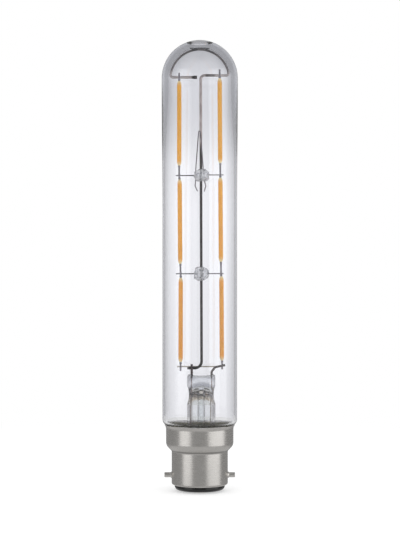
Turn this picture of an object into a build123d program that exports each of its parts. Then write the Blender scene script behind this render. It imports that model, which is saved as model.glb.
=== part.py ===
from build123d import *
import math
import os

# A clear tubular LED-filament lamp with a 22 mm two-pin bayonet cap.
# It stands upright: Z runs up the tube, X runs through the two bayonet pins, -Y is the front.
# Heights are millimetres above the faces of the two contacts.

# Cap shell and skirt, drawn from sheet
skirt_height = 7.85
shell_d = 22.0
skirt_d = 26.4
mouth_d = 27.5
sheet = 0.35
shell_foot = 2.5
shell_foot_lip = 1.15
shell_foot_round = 1.0
shell_top = 15.7
step_slope_deg = 45.0
step_inner_round = 0.8
step_outer_round = 2.5
mouth_flare_height = 1.1
mouth_flare_round = 1.5

# Bayonet pins
pin_d = 2.0
pins_across = 27.7
pin_height = 6.2
pin_tip_round = 0.25
pin_root_d = 3.0
pin_root_height = 0.5
pin_tenon_d = 1.6
pin_rivet_d = 2.6
pin_rivet_height = 0.45

# Insulator and contacts
contact_stand_out = 0.5
insulator_edge_width = 1.8
insulator_side_top = 1.7
insulator_inner_height = 1.75
insulator_fit = 0.05
insulator_chamfer = 0.75
contact_spacing = 7.5
contact_d = 4.6
contact_plate = 0.2
eyelet_d = 2.2
eyelet_rise = 0.4
eyelet_bore_d = 1.0
supply_wire_d = 0.6
solder_d = 3.8
solder_flat_d = 2.4
solder_plug_height = 1.5

# Glass envelope
tube_d = 29.2
dome_d = 29.8
tube_wall = 1.0
dome_centre_drop = 0.35
shoulder_round = 2.5
neck_round = 2.0
neck_d = 24.0
neck_over_shell = 2.7
neck_top_in_mouth = 1.75
widening_length = 50.0
widening_below_dome = 3.5
dome_glass = 2.5
dome_thickening_length = 34.0
crown_pocket_r = 4.0
crown_pocket_y = -2.0
crown_glass = 1.0

# Cement between neck and skirt
cement_over_neck_end = 0.5
cement_in_mouth = 0.35

# Glass stem: flare tube, pinch, pumping hole and exhaust tube
stem_x = 0.6
stem_tube_d = 11.2
stem_wall = 0.9
flare_lip_height = 0.8
flare_height = 8.6
flare_steps = 5
flare_curl = 2.6
stem_tube_length = 7.0
stem_waist_rise = 2.8
stem_waist = (9.8, 8.4)
stem_roof_rise = 1.2
stem_roof = (6.8, 3.5)
pinch_height = 4.7
pinch_over_roof = 2.3
pinch_width = 10.9
pinch_depth = 4.4
pinch_round = 0.8
pinch_ear_rise = 0.9
exhaust_d = 3.1
exhaust_bore_d = 2.0
exhaust_below_neck = 2.1
exhaust_tip_length = 2.5
exhaust_tip_glass = 1.0
pumping_hole_d = 1.7
pumping_hole_rise = 1.0

# Mast wire, with its foot, arms and arch
mast_d = 1.05
mast_foot_x = 0.72
mast_top_x = 0.35
mast_foot_rise = 3.0
mast_foot_reach = 5.6
mast_foot_bend = 2.7
mast_top_bend = 1.6
arm_bend = 1.1
left_arm_rise = 1.5
left_arm_tip_x = -1.05
left_arm_crimp_d = 1.3
left_arm_crimp_length = 1.4
right_arm_rise = 1.25
arch_gap = 0.125
arch_right_deg = 12.0
arch_left_deg = 168.0

# Leads and link wire
inner_lead_d = 0.9
left_lead_x = -3.14
left_lead_tip_rise = 1.6
right_lead_x = 4.65
right_lead_knee_rise = 1.6
right_lead_elbow_x = 6.0
right_lead_end_x = 9.95
right_lead_end_rise = 0.85
inner_lead_depth = 0.8
seal_wire_d = 0.35
seal_wire_length = 7.2
outer_lead_d = 0.5
outer_lead_left_x = -3.45
outer_lead_right_x = 4.3
lead_over_board = 1.6
link_d = 0.5
link_left_x = -8.9
link_overrun = 0.35
link_over_foot = 0.55
lead_bend = 1.0

# Beads, hairpin and cross wires
upper_bead_width = 6.15
upper_bead_d = 4.9
lower_bead_width = 5.9
lower_bead_d = 5.4
bead_corner_round = 1.7
bead_x = 0.65
cross_wire_d = 0.42
cross_wire_reach = 9.35
cross_wire_depth = 1.5
hairpin_d = 0.42
hairpin_gap = 0.05
hairpin_bend = 0.3
bead_lobe_d = 3.2

# Route of the hairpin, as (x, rise above the upper bead's middle), up one leg and down the other
hairpin_route = [
    (-0.85, -6.3),
    (-1.8, -4.3),
    (-1.65, -2.2),
    (-1.6, 1.8),
    (-0.43, 17.5),
    (0.27, 17.5),
    (1.4, 2.2),
    (1.85, -2.2),
    (2.35, -4.2),
    (1.75, -6.4),
]

# Lobes of the two beads, as (x, y, z) from each bead's middle
upper_bead_lobes = [(-1.5, 0.6, -0.7), (1.45, -0.7, 0.75), (0.3, 0.9, -0.8)]
lower_bead_lobes = [(1.3, -0.5, 1.2), (1.3, 0.4, -1.15), (-1.2, -0.6, -0.6)]

# Filaments and their tabs
filament_length = 33.0
filament_d = 1.75
filament_tip_d = 0.95
filament_taper = 1.6
left_tier_gap = 5.5
right_tier_gap = 5.7
left_wire_rise = 1.6
right_wire_rise = 1.05
left_string_drop = 1.8
right_string_drop = 1.75
tab_width = 0.7
tab_sheet = 0.25
tab_root = 1.0
tab_crimp_width = 0.95
tab_crimp_depth = 0.6
tab_crimp_height = 0.6
tab_crimp_gap = 0.15
tab_overrun = 0.9
end_tab_overrun = 1.7
right_top_overrun = 2.4

# Where each filament stands, as (x at its bottom end, x at its top end), from the lowest one up
left_string = [(-7.53, -7.47), (-7.58, -7.96), (-8.04, -8.04)]
right_string = [(8.78, 8.43), (8.31, 8.08), (8.0, 7.8)]

# Driver board and its parts, inside the cap; places are (x, rise above the insulator)
board_width = 17.0
board_sheet = 1.0
board_slot_depth = 0.6
board_rise = 10.6
board_fit = 0.05
capacitor_d = 5.0
capacitor_length = 8.0
capacitor_rise = 7.6
capacitor_lead_spacing = 2.0
capacitor_lead_reach = 1.4
bridge_size = (4.7, 1.6, 3.9)
bridge_place = (-4.2, 3.6)
bridge_legs = 2
chip_size = (4.9, 1.4, 3.9)
chip_place = (4.2, 3.6)
chip_legs = 4
package_leg = 0.4
package_leg_sheet = 0.2
package_leg_reach = 0.9
resistor_d = 2.3
resistor_length = 6.2
resistor_rise = 8.6
resistor_lead_reach = 1.2
part_lead_d = 0.5
part_lead_bend = 0.6
part_lead_through = 0.5
lead_pad_x = 6.2
lead_pad_rise = 8.6
supply_pad_rise = 4.3
supply_knee_rise = 1.4
supply_bend = 0.7

# Places worked out from the sizes above
shell_r = shell_d / 2
shell_inner_r = shell_r - sheet
foot_hole_r = shell_r - shell_foot_lip
skirt_r = skirt_d / 2
tube_r = tube_d / 2
dome_r = dome_d / 2
neck_r = neck_d / 2
mast_r = mast_d / 2
lead_r = inner_lead_d / 2
cross_r = cross_wire_d / 2
outer_lead_r = outer_lead_d / 2
insulator_top = shell_foot + sheet + insulator_inner_height
step_top = shell_top + (skirt_r - shell_r) * math.tan(math.radians(step_slope_deg))
cap_height = step_top + skirt_height
neck_bottom = shell_top + neck_over_shell
neck_top = cap_height - neck_top_in_mouth
cement_bottom = neck_bottom + cement_over_neck_end
cement_top = cap_height - cement_in_mouth
dome_inner_r = dome_r - dome_glass
arch_r = dome_inner_r - mast_r - arch_gap

# Heights up the stem, from the neck's end to the pinch and the wires over it
flare_top = neck_bottom + flare_height
stem_tube_top = flare_top + stem_tube_length
stem_waist_height = stem_tube_top + stem_waist_rise
stem_roof_height = stem_waist_height + stem_roof_rise
pinch_bottom = stem_roof_height + pinch_over_roof
pinch_top = pinch_bottom + pinch_height
exhaust_tip_height = neck_bottom - exhaust_below_neck
mast_foot_height = pinch_top + mast_foot_rise
link_height = mast_foot_height + link_over_foot
lead_bottom = pinch_top - inner_lead_depth
seal_bottom = lead_bottom - seal_wire_length
board_face = board_sheet / 2
board_top = insulator_top + board_rise

widening_turn = 2 * math.degrees(math.atan((dome_r - tube_r) / widening_length))
widening_round = widening_length / (2 * math.sin(math.radians(widening_turn)))

# Front-to-back places: each tab lies flat on the wire that it is welded to
tab_step = tab_sheet / 2 + cross_r
upper_y = -(mast_r + tab_sheet / 2)
upper_cross_y = upper_y + tab_step
middle_y = upper_cross_y + tab_step
lower_cross_y = middle_y + tab_step
lower_y = lower_cross_y + tab_step
tier_y = [lower_y, middle_y, upper_y]
link_left_y = lower_y + tab_sheet / 2 + link_d / 2
right_lead_y = lower_y - tab_sheet / 2 - lead_r
link_right_y = right_lead_y + lead_r + link_d / 2
left_lead_y = -(mast_r + lead_r)
hairpin_y = -(mast_r + hairpin_d / 2 + hairpin_gap)

# Heights of the right lead's end and of the filaments' bottom ends, from the lowest filament up
right_lead_elbow_height = link_height - (lead_r - link_d / 2)
right_lead_end_height = right_lead_elbow_height + right_lead_end_rise
left_bottoms = [link_height + left_string_drop + n * (filament_length + left_tier_gap) for n in range(3)]
right_bottoms = [
    right_lead_end_height + right_string_drop + n * (filament_length + right_tier_gap) for n in range(3)
]
left_wires = [z + filament_length + left_wire_rise for z in left_bottoms[:2]]
right_wires = [z + filament_length + right_wire_rise for z in right_bottoms[:2]]
lower_bead_height = (left_wires[0] + right_wires[0]) / 2
upper_bead_height = (left_wires[1] + right_wires[1]) / 2
left_arm_height = left_bottoms[2] + filament_length + left_arm_rise
right_arm_height = right_bottoms[2] + filament_length + right_arm_rise

# Heights up the glass, from the arms that the dome closes over
dome_centre_height = left_arm_height - dome_centre_drop
widening_end = dome_centre_height - widening_below_dome
widening_start = widening_end - widening_length
dome_thickening_start = dome_centre_height - dome_thickening_length

upright = (Align.CENTER, Align.CENTER, Align.MIN)


def turned(outline):
    """Solid of revolution about Z of a closed outline drawn as (radius, height)."""
    return revolve(Plane.XZ * make_face(outline), Axis.Z)


def wire(path, diameter):
    """Round wire along a path."""
    return sweep(Plane(origin=path @ 0, z_dir=path % 0) * Circle(diameter / 2), path=path)


def rod(start, end, diameter):
    """Straight round wire between two points."""
    return wire(Line(start, end), diameter)


def s_bend(start, first_round, second_round, turn):
    """Outline that leaves start upwards, bends outwards by turn degrees and comes back upright."""
    first = JernArc(start, (0, 1), first_round, -turn)
    return [first, JernArc(first @ 1, first % 1, second_round, turn)]


def bend_turn(widening, round_sum):
    """Angle of each half of an s_bend that widens by this much."""
    return math.degrees(math.acos(1 - widening / round_sum))


def shell_sheet():
    """Shell, step, skirt and flared mouth, drawn from one sheet."""
    outer = FilletPolyline(
        (foot_hole_r, shell_foot),
        (shell_r, shell_foot),
        (shell_r, shell_top),
        (skirt_r, step_top),
        (skirt_r, cap_height - mouth_flare_height),
        (mouth_d / 2, cap_height),
        radius=[shell_foot_round, step_inner_round, step_outer_round, mouth_flare_round],
    )
    return turned(offset(outer, sheet, side=Side.LEFT))


def cap_shell():
    holes = Pos(0, 0, pin_height) * Rot(0, 90, 0) * Cylinder(pin_tenon_d / 2, skirt_d)
    return shell_sheet() - holes


def bayonet_pin(side):
    """Pin with a small root outside the shell and its tenon riveted inside; side is -1 or 1."""
    outward = Pos(0, 0, pin_height) * Rot(0, 90 * side, 0)
    root_start = shell_r - sheet / 2
    shaft = Pos(0, 0, root_start) * Cylinder(pin_d / 2, pins_across / 2 - root_start, align=upright)
    shaft = fillet(shaft.edges().group_by(Axis.Z)[-1], pin_tip_round)
    root_top = shell_r + pin_root_height
    root = Cone(pin_root_d / 2, pin_d / 2, root_top - root_start, align=upright)
    outside = outward * (shaft + Pos(0, 0, root_start) * root)
    outside -= Cylinder(shell_r, cap_height, align=upright)

    rivet_start = shell_inner_r - pin_rivet_height
    tenon = Pos(0, 0, rivet_start) * Cylinder(pin_tenon_d / 2, root_top - rivet_start, align=upright)
    rivet = Pos(0, 0, rivet_start) * Cylinder(pin_rivet_d / 2, shell_r - rivet_start, align=upright)
    rivet = outward * rivet & Cylinder(shell_inner_r, cap_height, align=upright)
    return outside + outward * tenon + rivet


def cap_insulator():
    """Moulded base, with a rim behind the shell's foot, two eyelet holes and the board's slot."""
    side_r = foot_hole_r - insulator_fit
    inner_r = shell_inner_r - insulator_fit
    shelf = shell_foot + sheet
    face_r = side_r - insulator_edge_width
    round_middle = (
        face_r + (side_r - face_r) * math.sin(math.radians(45)),
        insulator_side_top - (insulator_side_top - contact_stand_out) * math.cos(math.radians(45)),
    )
    outline = [
        Line((0, contact_stand_out), (face_r, contact_stand_out)),
        ThreePointArc((face_r, contact_stand_out), round_middle, (side_r, insulator_side_top)),
        Polyline(
            (side_r, insulator_side_top),
            (side_r, shelf),
            (inner_r - insulator_chamfer, shelf),
            (inner_r, shelf + insulator_chamfer),
            (inner_r, insulator_top),
            (0, insulator_top),
            (0, contact_stand_out),
        ),
    ]
    base = turned(outline)
    for side in (-1, 1):
        base -= Pos(0, side * contact_spacing / 2, 0) * Cylinder(eyelet_d / 2, insulator_top, align=upright)
    slot = Box(board_width + board_fit, board_sheet + board_fit, board_slot_depth, align=upright)
    return base - Pos(0, 0, insulator_top - board_slot_depth) * slot


def contact(side):
    """Eyelet: a plate under the insulator and a tube up through it."""
    plate_face = contact_stand_out - contact_plate
    height = insulator_top + eyelet_rise - plate_face
    plate = Cylinder(contact_d / 2, contact_plate, align=upright)
    eyelet = plate + Cylinder(eyelet_d / 2, height, align=upright)
    bore = Cylinder(eyelet_bore_d / 2, height, align=upright)
    return Pos(0, side * contact_spacing / 2, plate_face) * (eyelet - bore)


def contact_solder(side):
    """Solder face under the plate, with a flat where the holder presses and a plug round the wire."""
    plate_face = contact_stand_out - contact_plate
    flat_r = solder_flat_d / 2
    middle = (
        flat_r + (solder_d / 2 - flat_r) * math.sin(math.radians(45)),
        plate_face * (1 - math.cos(math.radians(45))),
    )
    face = turned(
        [
            Line((0, 0), (flat_r, 0)),
            ThreePointArc((flat_r, 0), middle, (solder_d / 2, plate_face)),
            Polyline((solder_d / 2, plate_face), (0, plate_face), (0, 0)),
        ]
    )
    plug = Cylinder(eyelet_bore_d / 2, plate_face + solder_plug_height, align=upright)
    return Pos(0, side * contact_spacing / 2, 0) * (face + plug) - supply_wire(side)


def supply_wire(side):
    """Wire from the solder up through the eyelet and across to the board's face."""
    y_contact = side * contact_spacing / 2
    y_pad = side * (board_face + supply_wire_d / 2)
    path = FilletPolyline(
        (0, y_contact, contact_stand_out - contact_plate),
        (0, y_contact, insulator_top + supply_knee_rise),
        (0, y_pad, insulator_top + supply_knee_rise + abs(y_contact - y_pad) / 2),
        (0, y_pad, insulator_top + supply_pad_rise),
        radius=supply_bend,
    )
    return wire(path, supply_wire_d)


def bulb_outline():
    """Outside of the glass, from the neck's end to the top of the dome."""
    shoulder_turn = bend_turn(tube_r - neck_r, shoulder_round + neck_round)
    shoulder = s_bend((neck_r, neck_top), neck_round, shoulder_round, shoulder_turn)
    widening = s_bend((tube_r, widening_start), widening_round, widening_round, widening_turn)
    return [
        Line((neck_r, neck_bottom), shoulder[0] @ 0),
        *shoulder,
        Line(shoulder[1] @ 1, widening[0] @ 0),
        *widening,
        Line(widening[1] @ 1, (dome_r, dome_centre_height)),
        JernArc((dome_r, dome_centre_height), (0, 1), dome_r, 90),
    ]


def bulb_bore():
    """Inside of the glass: the tube's bore, narrowing to the smaller bore of the thick dome."""
    bore_r = tube_r - tube_wall
    shoulder_turn = bend_turn(tube_r - neck_r, shoulder_round + neck_round)
    shoulder = s_bend(
        (neck_r - tube_wall, neck_top), neck_round + tube_wall, shoulder_round - tube_wall, shoulder_turn
    )
    thickening = Spline(
        (bore_r, dome_thickening_start), (dome_inner_r, dome_centre_height), tangents=[(0, 1), (0, 1)]
    )
    return [
        Line((neck_r - tube_wall, neck_bottom), shoulder[0] @ 0),
        *shoulder,
        Line(shoulder[1] @ 1, (bore_r, dome_thickening_start)),
        thickening,
        JernArc((dome_inner_r, dome_centre_height), (0, 1), dome_inner_r, 90),
    ]


def crown_pocket():
    """Hollow in the top of the dome, left where the glass was sealed off, under a thin crown."""
    pocket = Pos(0, crown_pocket_y, dome_centre_height) * Cylinder(crown_pocket_r, dome_r, align=upright)
    return pocket & Pos(0, 0, dome_centre_height) * Sphere(dome_r - crown_glass)


def glass_envelope():
    outside = bulb_outline()
    inside = bulb_bore()
    crown = Line(outside[-1] @ 1, inside[-1] @ 1)
    rim = Line(outside[0] @ 0, inside[0] @ 0)
    return turned([*outside, crown, *inside, rim]) - crown_pocket()


def cement_ring():
    """Cement between the neck and the skirt, up to just below the mouth."""
    outer_r = skirt_r - sheet
    inner_r = neck_r - tube_wall / 2
    corners = [
        (inner_r, cement_bottom),
        (outer_r, cement_bottom),
        (outer_r, cement_top),
        (inner_r, cement_top),
    ]
    fill = turned(Polyline(*corners, close=True))
    outside = bulb_outline()
    axis = Polyline(outside[-1] @ 1, (0, neck_bottom), outside[0] @ 0)
    return fill - turned([*outside, axis])


def flare(height, start_r):
    """Trumpet from start_r at the neck's end to the stem tube, with its middle moving over to the stem's."""
    narrow_r = start_r - (neck_r - tube_wall) + stem_tube_d / 2
    sections = []
    for n in range(flare_steps):
        t = n / (flare_steps - 1)
        r = narrow_r + (start_r - narrow_r) * (1 - t) ** flare_curl
        sections.append(Pos(stem_x * t, 0, neck_bottom + height * t) * Circle(r))
    return loft(sections)


def oval(size, height):
    """Oval section of the stem at one height, of a full width and depth."""
    return Pos(stem_x, 0, height) * Ellipse(size[0] / 2, size[1] / 2)


def pinch():
    """Flat pressed block, with its top a little higher at the two ends."""
    half = pinch_width / 2
    ear = pinch_top + pinch_ear_rise
    outline = [
        ThreePointArc((-half, ear), (0, pinch_top), (half, ear)),
        Polyline((half, ear), (half, pinch_bottom), (-half, pinch_bottom), (-half, ear)),
    ]
    block = extrude(Plane.XZ * make_face(outline), pinch_depth / 2, both=True)
    return Pos(stem_x, 0, 0) * fillet(block.edges(), pinch_round)


def glass_stem():
    """Flare lip, trumpet, tube, waist and pinch in one piece of glass, with the wires let in."""
    neck_inner_r = neck_r - tube_wall
    tube = Pos(stem_x, 0, flare_top) * Cylinder(stem_tube_d / 2, stem_tube_length, align=upright)
    waist = loft(
        [
            oval((stem_tube_d, stem_tube_d), stem_tube_top),
            oval(stem_waist, stem_waist_height),
            oval((pinch_width, pinch_depth), pinch_bottom + pinch_round),
        ]
    )
    stem = flare(flare_height, neck_inner_r) + tube + waist + pinch()
    stem += Pos(0, 0, neck_bottom - flare_lip_height) * Cylinder(neck_r, flare_lip_height, align=upright)

    bore_d = stem_tube_d - 2 * stem_wall
    bore = Pos(stem_x, 0, flare_top) * Cylinder(bore_d / 2, stem_tube_length, align=upright)
    roof = loft(
        [
            oval((bore_d, bore_d), stem_tube_top),
            oval([size - 2 * stem_wall for size in stem_waist], stem_waist_height),
            oval(stem_roof, stem_roof_height),
        ]
    )
    mouth = Pos(0, 0, neck_bottom - flare_lip_height) * Cylinder(
        neck_inner_r - stem_wall, flare_lip_height, align=upright
    )
    stem -= flare(flare_height, neck_inner_r - stem_wall) + bore + roof + mouth

    hole_height = stem_roof_height + pumping_hole_rise
    passage = Cylinder(exhaust_bore_d / 2, pumping_hole_rise + pumping_hole_d / 2, align=upright)
    hole = Rot(90, 0, 0) * Cylinder(pumping_hole_d / 2, stem_tube_d / 2, align=upright)
    stem -= Pos(stem_x, 0, stem_roof_height) * passage + Pos(stem_x, 0, hole_height) * hole
    for side in (-1, 1):
        stem -= seal_wire(side)
        stem -= outer_lead(side)
    return stem - left_inner_lead() - right_inner_lead()


def exhaust_tube():
    """Pumping tube under the stem's roof, drawn down to a closed tip."""
    tip = exhaust_tip_height
    shoulder = tip + exhaust_tip_length
    outer_r = exhaust_d / 2
    inner_r = exhaust_bore_d / 2
    half_turn = math.radians(45)
    tip_middle = (outer_r * math.sin(half_turn), shoulder - exhaust_tip_length * math.cos(half_turn))
    outline = [
        ThreePointArc((0, tip), tip_middle, (outer_r, shoulder)),
        Polyline(
            (outer_r, shoulder),
            (outer_r, stem_roof_height),
            (inner_r, stem_roof_height),
            (inner_r, shoulder),
            (0, tip + exhaust_tip_glass),
            (0, tip),
        ),
    ]
    return Pos(stem_x, 0, 0) * turned(outline)


def mast_wire():
    """Foot, mast, right arm, arch over the dome and left arm, bent from one wire."""
    right = math.radians(arch_right_deg)
    left = math.radians(arch_left_deg)
    arch_start = (arch_r * math.cos(right), 0, dome_centre_height + arch_r * math.sin(right))
    arch_end = (arch_r * math.cos(left), 0, dome_centre_height + arch_r * math.sin(left))
    right_drop = (arch_start[2] - right_arm_height) / math.cos(right)
    left_drop = (arch_end[2] - left_arm_height) / -math.cos(left)
    up = FilletPolyline(
        (mast_foot_x - mast_foot_reach, 0, mast_foot_height),
        (mast_foot_x, 0, mast_foot_height),
        (mast_top_x, 0, right_arm_height),
        (arch_start[0] + right_drop * math.sin(right), 0, right_arm_height),
        arch_start,
        radius=[mast_foot_bend, mast_top_bend, arm_bend],
    )
    arch = ThreePointArc(arch_start, (0, 0, dome_centre_height + arch_r), arch_end)
    down = FilletPolyline(
        arch_end,
        (arch_end[0] - left_drop * math.sin(left), 0, left_arm_height),
        (left_arm_tip_x, 0, left_arm_height),
        radius=arm_bend,
    )
    path = Wire([*up.edges(), arch.edge(), *down.edges()])
    crimp_start = (left_arm_tip_x - left_arm_crimp_length, 0, left_arm_height)
    crimp = rod(crimp_start, (left_arm_tip_x, 0, left_arm_height), left_arm_crimp_d)
    return wire(path, mast_d) + crimp


def left_inner_lead():
    """Thick lead in front of the mast's foot, which it is welded to."""
    tip = mast_foot_height + left_lead_tip_rise
    return rod((left_lead_x, left_lead_y, lead_bottom), (left_lead_x, left_lead_y, tip), inner_lead_d)


def right_inner_lead():
    """Thick lead that bends out to the right string."""
    path = FilletPolyline(
        (right_lead_x, right_lead_y, lead_bottom),
        (right_lead_x, right_lead_y, pinch_top + right_lead_knee_rise),
        (right_lead_elbow_x, right_lead_y, right_lead_elbow_height),
        (right_lead_end_x, right_lead_y, right_lead_end_height),
        radius=lead_bend,
    )
    return wire(path, inner_lead_d)


def seal_wire(side):
    """Thin wire sealed in the pinch, under an inner lead."""
    x = right_lead_x if side > 0 else left_lead_x
    y = right_lead_y if side > 0 else left_lead_y
    return rod((x, y, seal_bottom), (x, y, lead_bottom), seal_wire_d)


def outer_lead(side):
    """Wire from the seal down the flare to a pad on the board's face."""
    x = right_lead_x if side > 0 else left_lead_x
    y = right_lead_y if side > 0 else left_lead_y
    pad_y = side * (board_face + outer_lead_r)
    in_flare = outer_lead_right_x if side > 0 else outer_lead_left_x
    path = FilletPolyline(
        (x, y, seal_bottom),
        (in_flare, y, stem_tube_top),
        (in_flare, pad_y, flare_top),
        (side * lead_pad_x, pad_y, board_top + lead_over_board),
        (side * lead_pad_x, pad_y, insulator_top + lead_pad_rise),
        radius=lead_bend,
    )
    return wire(path, outer_lead_d)


def link_wire():
    """Thin wire behind the mast's foot, from the left string to the right lead."""
    left_x = left_string[0][0]
    slope = (link_right_y - link_left_y) / (right_lead_elbow_x - left_x)
    right_x = right_lead_elbow_x + link_overrun
    start = (link_left_x, link_left_y + slope * (link_left_x - left_x), link_height)
    end = (right_x, link_left_y + slope * (right_x - left_x), link_height)
    return rod(start, end, link_d)


def cross_wire(side, height, y, bead_width):
    """Wire from inside a bead out past one string."""
    inner = bead_x + side * (bead_width / 2 - cross_wire_depth)
    return rod((inner, y, height), (side * cross_wire_reach, y, height), cross_wire_d)


def bead(width, diameter, height, lobes):
    """Lump of glass melted on the mast, a rounded barrel with a few lobes."""
    section = RectangleRounded(width, diameter, bead_corner_round)
    half = section & Pos(0, diameter / 4) * Rectangle(width, diameter / 2)
    lump = revolve(half, Axis.X)
    for place in lobes:
        lump += Pos(*place) * Sphere(bead_lobe_d / 2)
    return Pos(bead_x, 0, height) * lump - mast_wire()


def upper_bead():
    lump = bead(upper_bead_width, upper_bead_d, upper_bead_height, upper_bead_lobes)
    return lump - bead_hairpin() - upper_cross_wire(-1) - upper_cross_wire(1)


def lower_bead():
    lump = bead(lower_bead_width, lower_bead_d, lower_bead_height, lower_bead_lobes)
    return lump - lower_cross_wire(-1) - lower_cross_wire(1)


def upper_cross_wire(side):
    height = right_wires[1] if side > 0 else left_wires[1]
    return cross_wire(side, height, upper_cross_y, upper_bead_width)


def lower_cross_wire(side):
    height = right_wires[0] if side > 0 else left_wires[0]
    return cross_wire(side, height, lower_cross_y, lower_bead_width)


def bead_hairpin():
    """Hairpin in front of the mast, with its legs through the upper bead."""
    points = [(x, hairpin_y, upper_bead_height + rise) for x, rise in hairpin_route]
    return wire(FilletPolyline(*points, radius=hairpin_bend), hairpin_d)


def stick():
    """Bare filament along Z: a round stick with both ends drawn in."""
    r = filament_d / 2
    tip_r = filament_tip_d / 2
    taper_round = (filament_taper**2 + (r - tip_r) ** 2) / (2 * (r - tip_r))
    half = math.asin(filament_taper / taper_round) / 2
    bulge = r - taper_round * (1 - math.cos(half))
    inset = filament_taper - taper_round * math.sin(half)
    top = filament_length
    return turned(
        [
            Line((0, 0), (tip_r, 0)),
            ThreePointArc((tip_r, 0), (bulge, inset), (r, filament_taper)),
            Line((r, filament_taper), (r, top - filament_taper)),
            ThreePointArc((r, top - filament_taper), (bulge, top - inset), (tip_r, top)),
            Polyline((tip_r, top), (0, top), (0, 0)),
        ]
    )


def tab(reach):
    """Metal tab that stands out of a filament's end by reach, with a crimp next to the end."""
    strip = Pos(0, 0, -tab_root) * Box(tab_width, tab_sheet, tab_root + reach, align=upright)
    crimp = Box(tab_crimp_width, tab_crimp_depth, tab_crimp_height, align=upright)
    crimp = chamfer(crimp.edges().filter_by(Axis.Z), (tab_crimp_depth - tab_sheet) / 4)
    return strip + Pos(0, 0, tab_crimp_gap) * crimp


def filament_parts(standing, bottom, y, bottom_wire, top_wire, bottom_overrun, top_overrun):
    """One filament and its bottom and top tabs, leaning between its two standing places."""
    lean = math.degrees(math.atan2(standing[1] - standing[0], filament_length))
    bottom_tab = Rot(180, 0, 0) * tab(bottom - bottom_wire + bottom_overrun)
    top_tab = Pos(0, 0, filament_length) * tab(top_wire - bottom - filament_length + top_overrun)
    body = stick() - bottom_tab - top_tab
    place = Pos(standing[0], y, bottom) * Rot(0, lean, 0)
    return place * body, place * bottom_tab, place * top_tab


def string_parts(side):
    """The three filaments of one side with their tabs, as a dictionary of named pieces."""
    name = "right" if side > 0 else "left"
    standing = right_string if side > 0 else left_string
    bottoms = right_bottoms if side > 0 else left_bottoms
    wires = right_wires if side > 0 else left_wires
    foot_wire = right_lead_end_height if side > 0 else link_height
    arm = right_arm_height if side > 0 else left_arm_height
    supports = [foot_wire, *wires, arm]
    overruns = [end_tab_overrun, tab_overrun, tab_overrun, right_top_overrun if side > 0 else end_tab_overrun]
    pieces = {}
    for n, tier in enumerate(("lower", "middle", "upper")):
        body, bottom_tab, top_tab = filament_parts(
            standing[n], bottoms[n], tier_y[n], supports[n], supports[n + 1], overruns[n], overruns[n + 1]
        )
        pieces[f"{name}_{tier}_filament"] = body
        pieces[f"{name}_{tier}_bottom_tab"] = bottom_tab
        pieces[f"{name}_{tier}_top_tab"] = top_tab
    return pieces


def package(size, place, legs):
    """Flat moulded part on the board's rear face, on legs that stand out at both sides."""
    width, thickness, height = size
    leg_y = board_face + package_leg_sheet / 2
    body = Pos(0, leg_y + thickness / 2, 0) * Box(width, thickness, height)
    for n in range(legs):
        rise = height * ((n + 0.5) / legs - 0.5)
        body += Pos(0, leg_y, rise) * Box(width + 2 * package_leg_reach, package_leg_sheet, package_leg)
    return Pos(place[0], 0, insulator_top + place[1]) * body


def through_lead(x_start, x_hole, y, height):
    """Lead that runs out sideways from a part and turns into a hole in the board."""
    side = 1 if y < 0 else -1
    path = FilletPolyline(
        (x_start, y, height),
        (x_hole, y, height),
        (x_hole, side * (board_face + part_lead_through), height),
        radius=part_lead_bend,
    )
    return wire(path, part_lead_d)


def capacitor_leads():
    height = insulator_top + capacitor_rise
    start = capacitor_length / 2
    y = -(board_face + capacitor_d / 2)
    return [
        through_lead(start, start + capacitor_lead_reach, y, height + side * capacitor_lead_spacing / 2)
        for side in (-1, 1)
    ]


def smoothing_capacitor():
    """Can lying on the board's front face, with its two leads turned into the board."""
    can = Cylinder(capacitor_d / 2, capacitor_length, rotation=(0, 90, 0))
    can = Pos(0, -(board_face + capacitor_d / 2), insulator_top + capacitor_rise) * can
    for lead in capacitor_leads():
        can += lead
    return can


def resistor_leads():
    y = board_face + resistor_d / 2
    start = resistor_length / 2
    return [
        through_lead(side * start, side * (start + resistor_lead_reach), y, insulator_top + resistor_rise)
        for side in (-1, 1)
    ]


def fusible_resistor():
    """Round body on the board's rear face, with a lead at each end."""
    body = Cylinder(resistor_d / 2, resistor_length, rotation=(0, 90, 0))
    body = Pos(0, board_face + resistor_d / 2, insulator_top + resistor_rise) * body
    for lead in resistor_leads():
        body += lead
    return body


def driver_board():
    """Upright board in the insulator's slot, with holes for the leads."""
    bottom = insulator_top - board_slot_depth
    board = Pos(0, 0, bottom) * Box(board_width, board_sheet, board_top - bottom, align=upright)
    for lead in (*capacitor_leads(), *resistor_leads()):
        board -= lead
    return board


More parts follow.
